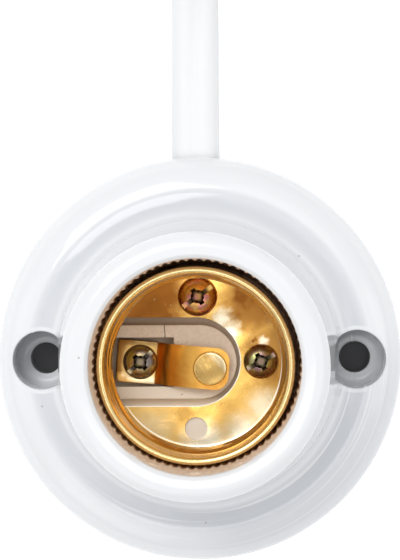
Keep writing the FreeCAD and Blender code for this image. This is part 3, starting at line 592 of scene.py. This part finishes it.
def driver_bit(head_radius):
    """What is cut out of a head: the slot, the tapered cross and its worn middle."""
    shape = bmesh.new()
    bmesh.ops.create_cube(shape, size=1.0)
    block_size = (head_radius * 2.4, slot_width, slot_block_height)
    block_level = head_height + slot_block_height / 2 - slot_depth
    bmesh.ops.scale(shape, vec=block_size, verts=shape.verts)
    bmesh.ops.translate(shape, vec=(0, 0, block_level), verts=shape.verts)
    for degrees in (0, 90):
        arm = bmesh.ops.create_cube(shape, size=1.0)["verts"]
        bmesh.ops.scale(shape, vec=cross_arm_size, verts=arm)
        tip = [corner for corner in arm if corner.co.z < 0]
        bmesh.ops.scale(shape, vec=cross_arm_taper, verts=tip)
        rotate(shape, arm, degrees)
        bmesh.ops.translate(shape, vec=(0, 0, head_height - 0.0004), verts=arm)
    middle = bmesh.ops.create_cone(
        shape,
        cap_ends=True,
        segments=16,
        radius1=cross_middle_radii[0],
        radius2=cross_middle_radii[1],
        depth=cross_middle_depth,
    )["verts"]
    bmesh.ops.translate(shape, vec=(0, 0, head_height - 0.0003), verts=middle)
    return shape


def cut_away(solid, tool):
    """One bmesh less another one."""
    parts = []
    for number, shape in enumerate((solid, tool)):
        mesh = bpy.data.meshes.new("rough_cut")
        shape.to_mesh(mesh)
        shape.free()
        parts.append(bpy.data.objects.new(f"rough_cut_{number}", mesh))
        bpy.context.scene.collection.objects.link(parts[number])
    cut = parts[0].modifiers.new("cut", "BOOLEAN")
    cut.object = parts[1]
    cut.solver = "EXACT"
    cut.use_self = True
    shaped = parts[0].evaluated_get(bpy.context.evaluated_depsgraph_get())
    result = bmesh.new()
    result.from_mesh(shaped.to_mesh())
    for part in parts:
        mesh = part.data
        bpy.data.objects.remove(part)
        bpy.data.meshes.remove(mesh)
    return result


def screw_finish(name, colour, first_tint, second_tint, centre, top):
    """Zinced steel with rainbow tints, and painted shade down in the recess below its head's top."""
    made, shader, place = new_material(name)
    # Painted shade down in the recess, lighter at its very middle.
    recess_shade = within(
        spot(place, *centre, 0.0014, 0.0022),
        place.part("Z").ramp(top - 0.00015, top - 0.00040),
    )
    recess_shade = recess_shade * (1 - spot(place, *centre, 0.0003, 0.0008) * 0.6)
    film = place.noise(700, 3.0, 0.6)
    tinted = film.ramp(0.40, 0.52).mix(first_tint, colour)
    tinted = film.ramp(0.54, 0.64).mix(tinted, second_tint)
    wire(shader, Base_Color=(recess_shade * 0.88).mix(tinted, recess_painted_shade), Metallic=1.0)
    wire(shader, Roughness=0.2 + film * 0.15 + recess_shade * 0.2)
    wire(shader, Normal=place.noise(3000, 2.0, 0.6).bump(0.000012))
    return made


def screw(name, centre, seat, end, head_radius, slot_turn, finish, slot, node):
    """A screw from its head's underside to its end. It points up where its end is the higher."""
    length = abs(seat - end)
    outline = [(head_radius * out, head_height * up) for out, up in head_outline]
    outline += [
        (shank_radius, 0.0),
        (shank_radius, shank_end_taper - length),
        (shank_end_radius, -length),
        (0.0, -length),
    ]
    shape = cut_away(turned(outline), driver_bit(head_radius))
    rotate(shape, shape.verts, slot_turn)
    if end > seat:
        rotate(shape, shape.verts, 180, "X")
    bmesh.ops.translate(shape, vec=(*centre, seat), verts=shape.verts)
    finished(name, shape, finish, slot, node, sharp=40)


yellow_zinc = screw_finish(
    "yellow_zinc",
    (0.66, 0.33, 0.11, 1),
    (0.62, 0.25, 0.20, 1),
    (0.78, 0.50, 0.14, 1),
    twelve_place,
    shell_screw_seat + head_height,
)
screw(
    "shell_screw_twelve",
    twelve_place,
    shell_screw_seat,
    front_screw_end,
    0.00295,
    35,
    yellow_zinc,
    "screw_zinc_yellow",
    "shell_screw_top",
)
side_zinc = screw_finish(
    "dull_zinc_side",
    (0.38, 0.29, 0.18, 1),
    (0.34, 0.20, 0.20, 1),
    (0.42, 0.42, 0.16, 1),
    three_place,
    shell_screw_seat + head_height,
)
contact_zinc = screw_finish(
    "dull_zinc_contact",
    (0.42, 0.32, 0.17, 1),
    (0.30, 0.24, 0.22, 1),
    (0.44, 0.38, 0.14, 1),
    contact_screw_place,
    contact_screw_seat + head_height,
)
wire_zinc = screw_finish(
    "dull_zinc_wires",
    (0.36, 0.30, 0.20, 1),
    (0.34, 0.30, 0.28, 1),
    (0.46, 0.42, 0.22, 1),
    (0.0, 0.0),
    0.0,
)
for name, node, centre, seat, end, head_radius, slot_turn, finish in (
    ("shell_screw_three", "shell_screw_side", three_place, shell_screw_seat, front_screw_end,
     0.0026, 27, side_zinc),
    ("clamp_screw", "contact_screw", contact_screw_place, contact_screw_seat, front_screw_end,
     0.0026, 42, contact_zinc),
    ("live_terminal_screw", "live_wire_screw", (-0.00855, 0.0068), wire_screw_seat, wire_screw_end,
     0.0027, 15, wire_zinc),
    ("neutral_terminal_screw", "neutral_wire_screw", (0.00665, 0.00665), wire_screw_seat, wire_screw_end,
     0.0027, 60, wire_zinc),
):
    screw(name, centre, seat, end, head_radius, slot_turn, finish, "screw_zinc_grey", node)

# Centre contact: a springy strip of brass, bent up from under its clamp plate to the middle of the
# holder, with a round button riveted to its end. A lamp cap presses the button and the strip bends.
strip_turn = Matrix.Rotation(math.radians(-5), 3, "Z")
strip_pivot = Vector((*contact_screw_place, 0))
strip_thickness = 0.0004
strip_half_width = 0.0031
strip_root_painted_shade = (0.42, 0.21, 0.06, 1)
strip_gold = (0.80, 0.43, 0.09, 1)
strip_film = (0.66, 0.31, 0.06, 1)
strip_run = (
    (-11.6, 20.00, 1.0),
    (-9.6, 20.00, 1.0),
    (-7.6, 20.00, 1.0),
    (-6.25, 20.00, 1.0),
    (-6.00, 20.04, 1.0),
    (-5.80, 20.18, 1.0),
    (-5.50, 20.55, 1.0),
    (-5.00, 21.18, 1.0),
    (-4.50, 21.76, 1.0),
    (-4.20, 22.02, 1.0),
    (-3.90, 22.18, 1.0),
    (-3.30, 22.48, 1.0),
    (-2.60, 22.77, 1.0),
    (-1.80, 23.03, 1.0),
    (-1.00, 23.22, 1.0),
    (-0.20, 23.34, 1.0),
    (0.60, 23.40, 1.0),
    (1.80, 23.40, 1.0),
    (2.90, 23.40, 1.0),
    (3.40, 23.40, 0.96),
    (3.90, 23.40, 0.87),
    (4.30, 23.40, 0.74),
    (4.58, 23.40, 0.58),
    (4.70, 23.40, 0.42),
)
strip = bmesh.new()
rows = []
for along, up, share in strip_run:
    half = strip_half_width * share
    rows.append([strip.verts.new((along / 1000, half * step / 3, up / 1000)) for step in range(-3, 4)])
for row, next_row in zip(rows, rows[1:]):
    for left, right, far_right, far_left in zip(row, row[1:], next_row[1:], next_row):
        strip.faces.new((left, far_left, far_right, right))
bmesh.ops.recalc_face_normals(strip, faces=strip.faces)
if strip.faces[:][0].normal.z < 0:
    bmesh.ops.reverse_faces(strip, faces=strip.faces)
bmesh.ops.solidify(strip, geom=strip.faces[:], thickness=strip_thickness)
bmesh.ops.rotate(strip, cent=strip_pivot, matrix=strip_turn, verts=strip.verts)

contact_brass, shader, place = new_material("contact_brass")
film = place.noise(420, 3.0, 0.6)
# Painted shade towards the strip's root under the clamp plate, fading out past the bend.
from_bend = (place.part("X") + 0.0062).ramp(0.0, 0.0040)
warm = (0.25 + from_bend * 0.75).mix(strip_root_painted_shade, strip_gold)
wire(shader, Base_Color=film.ramp(0.35, 0.7).mix(warm, strip_film), Metallic=1.0)
wire(shader, Roughness=0.24 + film * 0.16)
rolled = place.stretched(60.0, 900.0, 60.0).noise(1.0, 3.0, 0.6)
wire(shader, Normal=(rolled * 0.3 + place.noise(260, 2.0) * 0.7).bump(0.00006))
tongue = finished(
    "contact_strip", strip, contact_brass, "contact_brass", "contact_tongue", sharp=50, body=None
)
bend_start = strip_pivot + strip_turn @ Vector((0.0027, 0, 0.0206))
bend_end = strip_pivot + strip_turn @ Vector((0.0080, 0, 0.0234))
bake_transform(tongue, "holder", "contact", tuple(bend_start), tuple(bend_end))

# Button: turned from brass, with a low rim and a stem that is riveted under the strip. Its top is
# scratched by lamp caps and its rim carries a painted highlight on one side.
button_place = (0.00186, -0.00091)
button_top = (0.56, 0.36, 0.12, 1)
button_scratch = (0.36, 0.23, 0.08, 1)
button_worn = (0.46, 0.27, 0.08, 1)
button_rim_highlight = (0.98, 0.86, 0.58, 1)
button_outline = (
    (0.0, 24.12),
    (1.9, 24.12),
    (2.15, 24.19),
    (2.35, 24.20),
    (2.47, 24.12),
    (2.50, 23.98),
    (2.50, 23.55),
    (2.42, 23.42),
    (2.30, 23.40),
    (0.95, 23.40),
    (0.95, 23.00),
    (1.45, 22.98),
    (1.35, 22.72),
    (1.10, 22.60),
    (0.0, 22.60),
)
button_brass, shader, place = new_material("button_brass")
middle = spot(place, *button_place, 0.0020, 0.0023)
scratched = place.node(
    "ShaderNodeVectorRotate", {"rotation_type": "Z_AXIS"}, {"Vector": place, "Angle": 0.9}
)
lines = scratched.stretched(900.0, 4200.0, 900.0).noise(1.0, 2.0, 0.6)
worn = place.noise(900, 3.0, 0.6)
colour = (lines.ramp(0.4, 0.62) * middle * 0.45).mix(button_top, button_scratch)
colour = (worn.ramp(0.45, 0.7) * 0.5).mix(colour, button_worn)
# A painted highlight on the upper right of the button, weaker on its middle.
painted_rim_highlight = (place.part("X") * 0.7 + place.part("Y") * 0.7).ramp(0.0015, 0.0024) * (1 - middle * 0.5)
wire(shader, Base_Color=(painted_rim_highlight * 0.8).mix(colour, button_rim_highlight), Metallic=1.0)
wire(shader, Roughness=0.2 + lines * 0.2)
wire(shader, Normal=(lines * middle).bump(0.00001))
button = turned(button_outline)
bmesh.ops.scale(button, vec=(0.001, 0.001, 0.001), verts=button.verts)
bmesh.ops.translate(button, vec=(*button_place, 0), verts=button.verts)
finished("riveted_button", button, button_brass, "button_brass", "contact_button", body="contact")

# Clamp plate: a square of thin brassed steel between the contact screw and the strip, slightly askew,
# its edges broken by the punch.
plate_gold = (0.80, 0.53, 0.19, 1)
plate_film = (0.56, 0.33, 0.10, 1)
plate_painted_shade = (0.26, 0.15, 0.06, 1)
plate_painted_highlight = (0.95, 0.80, 0.52, 1)
plate_broken_edge = 0.00012
plate_brass, shader, place = new_material("clamp_brass")
side = place.part("X")
ahead = place.part("Y")
film = place.noise(500, 4.0, 0.6)
# Painted highlight along the plate's front edge, painted shade towards its left and back edges.
front_edge_highlight = (ahead + side * 0.09).ramp(-0.0022, -0.0034)
colour = film.ramp(0.35, 0.7).mix(plate_gold, plate_film)
colour = (side.ramp(-0.0095, -0.0118) * 0.8 * (1 - front_edge_highlight)).mix(colour, plate_painted_shade)
colour = (ahead.ramp(0.0018, 0.0030) * 0.75).mix(colour, plate_painted_shade)
wire(shader, Base_Color=(front_edge_highlight * 0.8).mix(colour, plate_painted_highlight), Metallic=1.0)
wire(shader, Roughness=0.22 + film * 0.18)
wire(shader, Normal=film.bump(0.00005))


def softened_copy(name, broken_edge):
    """A CAD node's mesh with its flat faces made whole and its sharp edges broken."""
    shape = copy_of_node(name)
    bmesh.ops.dissolve_limit(
        shape,
        angle_limit=math.radians(1),
        verts=shape.verts,
        edges=shape.edges,
        use_dissolve_boundaries=False,
    )
    sharp_angle = math.radians(50)
    sharp = [edge for edge in shape.edges if edge.is_manifold and edge.calc_face_angle() > sharp_angle]
    bmesh.ops.bevel(
        shape,
        geom=sharp,
        offset=broken_edge,
        offset_type="OFFSET",
        segments=2,
        profile=0.5,
        affect="EDGES",
        material=-1,
        clamp_overlap=True,
    )
    return shape


plate_shape = softened_copy("contact_clamp_plate", plate_broken_edge)
finished("clamp_plate", plate_shape, plate_brass, "plate_steel", "contact_clamp_plate", sharp=50)

# Terminals behind the floor: two punched brass plates, tapped for the screws that come through from
# the front, each with a square steel washer under the screw that holds its wire.
terminal_gold = (0.80, 0.55, 0.20, 1)
terminal_film = (0.52, 0.29, 0.08, 1)
terminal_broken_edge = 0.00015
washer_grey = (0.58, 0.55, 0.48, 1)
washer_film = (0.40, 0.34, 0.24, 1)
washer_broken_edge = 0.0001
terminal_brass, shader, place = new_material("terminal_brass")
film = place.noise(380, 4.0, 0.6)
wire(shader, Base_Color=film.ramp(0.35, 0.7).mix(terminal_gold, terminal_film), Metallic=1.0)
wire(shader, Roughness=0.24 + film * 0.2, Normal=film.bump(0.00003))
for name, node in (("live_plate", "live_terminal"), ("neutral_plate", "neutral_terminal")):
    plate_shape = softened_copy(node, terminal_broken_edge)
    finished(name, plate_shape, terminal_brass, "shell_brass", node, sharp=50)
washer_steel, shader, place = new_material("washer_steel")
film = place.noise(600, 4.0, 0.6)
wire(shader, Base_Color=film.ramp(0.4, 0.7).mix(washer_grey, washer_film), Metallic=1.0)
wire(shader, Roughness=0.28 + film * 0.2)
for name, node in (("live_washer", "live_wire_washer"), ("neutral_washer", "neutral_wire_washer")):
    washer_shape = softened_copy(node, washer_broken_edge)
    finished(name, washer_shape, washer_steel, "plate_steel", node, sharp=50)

# Wires: the cord's two cores in brown and light blue insulation, each with its bared strands of copper
# twisted and held under its washer.
copper_shade = (0.45, 0.16, 0.07, 1)
copper_light = (0.93, 0.50, 0.30, 1)
strand_waves = 9500
for name, node, slot, light, deep in (
    ("brown_core", "live_core", "core_brown", (0.16, 0.055, 0.022, 1), (0.12, 0.040, 0.016, 1)),
    ("blue_core", "neutral_core", "core_blue", (0.060, 0.22, 0.50, 1), (0.045, 0.17, 0.42, 1)),
):
    insulation, shader, place = new_material(name)
    cloud = place.noise(500, 3.0)
    wire(shader, Base_Color=cloud.mix(light, deep), Roughness=0.38 + cloud * 0.12)
    finished(name + "_insulation", copy_of_node(node), insulation, slot, node, sharp=50)
strands, shader, place = new_material("copper_strands")
lay = (place.part("X") + place.part("Z") + place.part("Y") * 0.6) * strand_waves
ridge = lay.maths("SINE", lay) * 0.5 + 0.5
wire(shader, Base_Color=ridge.mix(copper_shade, copper_light), Metallic=1.0)
wire(shader, Roughness=0.26 + ridge * 0.1, Normal=ridge.bump(0.00008))
for name, node in (("live_strands", "live_conductor"), ("neutral_strands", "neutral_conductor")):
    finished(name, copy_of_node(node), strands, "copper_wire", node, sharp=50)

# Plug: a flat two-pin plug moulded on the cord in white plastic, with a ribbed relief at the cord and
# two round nickelled pins, each sleeved for half its length.
plug_white = (0.90, 0.90, 0.895, 1)
plug_shade = (0.86, 0.86, 0.85, 1)
nickel_light = (0.80, 0.77, 0.72, 1)
nickel_scuffed = (0.66, 0.62, 0.56, 1)
relief_end = 0.0288
relief_end_round = 0.0010
ribs_start = 0.0300
ribs_end = 0.0396
rib_waves = 2600
moulded, shader, place = new_material("moulded_plug")
cloud = place.noise(300, 3.0)
wire(shader, Base_Color=cloud.mix(plug_white, plug_shade), Roughness=0.36 + cloud * 0.1)
along = place.part("X")
ribbed = within(along.ramp(ribs_start, ribs_start + 0.0006), along.ramp(ribs_end, ribs_end - 0.0006))
ribs = (along * rib_waves).maths("SINE", along * rib_waves).ramp(0.0, 0.8) * ribbed
wire(shader, Normal=(ribs + place.noise(4500, 2.0, 0.6) * 0.02).bump(0.0004))
plug_shape = copy_of_node("plug_body")
relief_edges = [
    edge
    for edge in plug_shape.edges
    if max(corner.co.x for corner in edge.verts) < relief_end
    and edge.calc_face_angle() > math.radians(50)
]
bmesh.ops.bevel(
    plug_shape,
    geom=relief_edges,
    offset=relief_end_round,
    offset_type="OFFSET",
    segments=4,
    profile=0.5,
    affect="EDGES",
    material=-1,
    clamp_overlap=True,
)
plug_pieces = [finished("plug_moulding", plug_shape, moulded, "plug_white", "plug_body", sharp=40)]
nickel, shader, place = new_material("nickelled_pin")
scuff = place.noise(900, 3.0, 0.6)
wire(shader, Base_Color=scuff.mix(nickel_light, nickel_scuffed), Metallic=1.0)
wire(shader, Roughness=0.16 + scuff * 0.18)
for name, node in (("live_pin", "plug_pin_live"), ("neutral_pin", "plug_pin_neutral")):
    plug_pieces.append(finished(name, copy_of_node(node), nickel, "pin_plating", node, sharp=40))

# Cord: flat white two-core flex, 7.4 by 4.3 mm. It lies flat as it leaves the foot, turns onto its
# edge past the photograph's edge and is wound up in two layers of three turns, with its plug on top.
cord_white = (0.93, 0.93, 0.93, 1)
cord_shade = (0.91, 0.91, 0.905, 1)
cord_width = 0.0074
cord_thickness = 0.0043
cord_middle = cord_thickness / 2
cord_groove = 0.97
circle_handle = 0.5523
coil_centre = Vector((0.0407, 0.103, 0.0))
coil_radii = [0.0413, 0.0370, 0.0327, 0.0327, 0.0370, 0.0413, 0.0413]
coil_turns = 6
turn_points = 16
turn_stretch = 1 / (0.75 + 0.25 * math.cos(2 * math.pi / turn_points))
route = [
    (-0.0006, 0.0215, cord_middle, 0),
    (-0.0006, 0.0340, cord_middle, 0),
    (-0.0006, 0.0480, cord_middle, 0),
    (-0.0006, 0.0620, 0.0030, 30),
    (-0.0006, 0.0760, 0.0037, 70),
    (-0.0006, 0.0900, cord_width / 2, 90),
]
for step in range(1, turn_points * coil_turns + 1):
    turn = step / turn_points
    whole = min(int(turn), coil_turns - 1)
    into = min(max((turn - whole - 0.6) / 0.4, 0), 1)
    radius = coil_radii[whole] + (coil_radii[whole + 1] - coil_radii[whole]) * into
    layer = min(max((turn - 2.6) / 0.4, 0), 1)
    angle = math.pi - 2 * math.pi * turn
    route.append(
        (
            coil_centre.x + radius * turn_stretch * math.cos(angle),
            coil_centre.y + radius * turn_stretch * math.sin(angle),
            cord_width * (0.5 + layer),
            90,
        )
    )
route += [
    (-0.0006, 0.1108, 0.0130, 80),
    (0.0072, 0.1242, 0.0182, 30),
    (0.0206, 0.1320, 0.0196, 0),
    (0.0287, 0.1320, 0.02165, 0),
]
section_data = bpy.data.curves.new("cord_section", "CURVE")
section_data.dimensions = "2D"
section_line = section_data.splines.new("BEZIER")
section_line.bezier_points.add(6)
half_flat = (cord_width - cord_thickness) / 2
arc_handle = cord_middle * circle_handle
for point, (across, up, reach_x, reach_y) in zip(
    section_line.bezier_points,
    (
        (half_flat, -cord_middle, -arc_handle, 0),
        (-half_flat, -cord_middle, -arc_handle, 0),
        (-half_flat - cord_middle, 0, 0, arc_handle),
        (-half_flat, cord_middle, arc_handle, 0),
        (0, cord_middle * cord_groove, arc_handle, 0),
        (half_flat, cord_middle, arc_handle, 0),
        (half_flat + cord_middle, 0, 0, -arc_handle),
    ),
):
    point.co = (across, up, 0)
    point.handle_left_type = "FREE"
    point.handle_right_type = "FREE"
    point.handle_left = (across - reach_x, up - reach_y, 0)
    point.handle_right = (across + reach_x, up + reach_y, 0)
section_line.use_cyclic_u = True
section = bpy.data.objects.new("cord_section", section_data)
section.hide_render = True
section.hide_viewport = True
bpy.context.scene.collection.objects.link(section)
cord_data = bpy.data.curves.new("cord", "CURVE")
cord_data.dimensions = "3D"
cord_data.resolution_u = 6
cord_data.bevel_mode = "OBJECT"
cord_data.bevel_object = section
cord_data.use_fill_caps = True
cord_data.twist_mode = "Z_UP"
cord_line = cord_data.splines.new("NURBS")
cord_line.points.add(len(route) - 1)
for point, (x, y, z, tilt) in zip(cord_line.points, route):
    point.co = (x, y, z, 1)
    point.tilt = math.radians(tilt)
cord_line.order_u = 3
cord_line.use_endpoint_u = True
cord = bpy.data.objects.new("flat_cord", cord_data)
bpy.context.scene.collection.objects.link(cord)
white_pvc, shader, place = new_material("white_cord")
cloud = place.noise(90, 3.0)
wire(shader, Base_Color=cloud.mix(cord_white, cord_shade), Roughness=0.38 + cloud * 0.1)
wire(shader, Normal=(place.noise(700, 2.0) * 0.6 + cloud * 0.4).bump(0.00002))
cord_data.materials.append(white_pvc)
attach(cord, "holder")
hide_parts("cord_sheath", "cord_coil", "cord_tail")
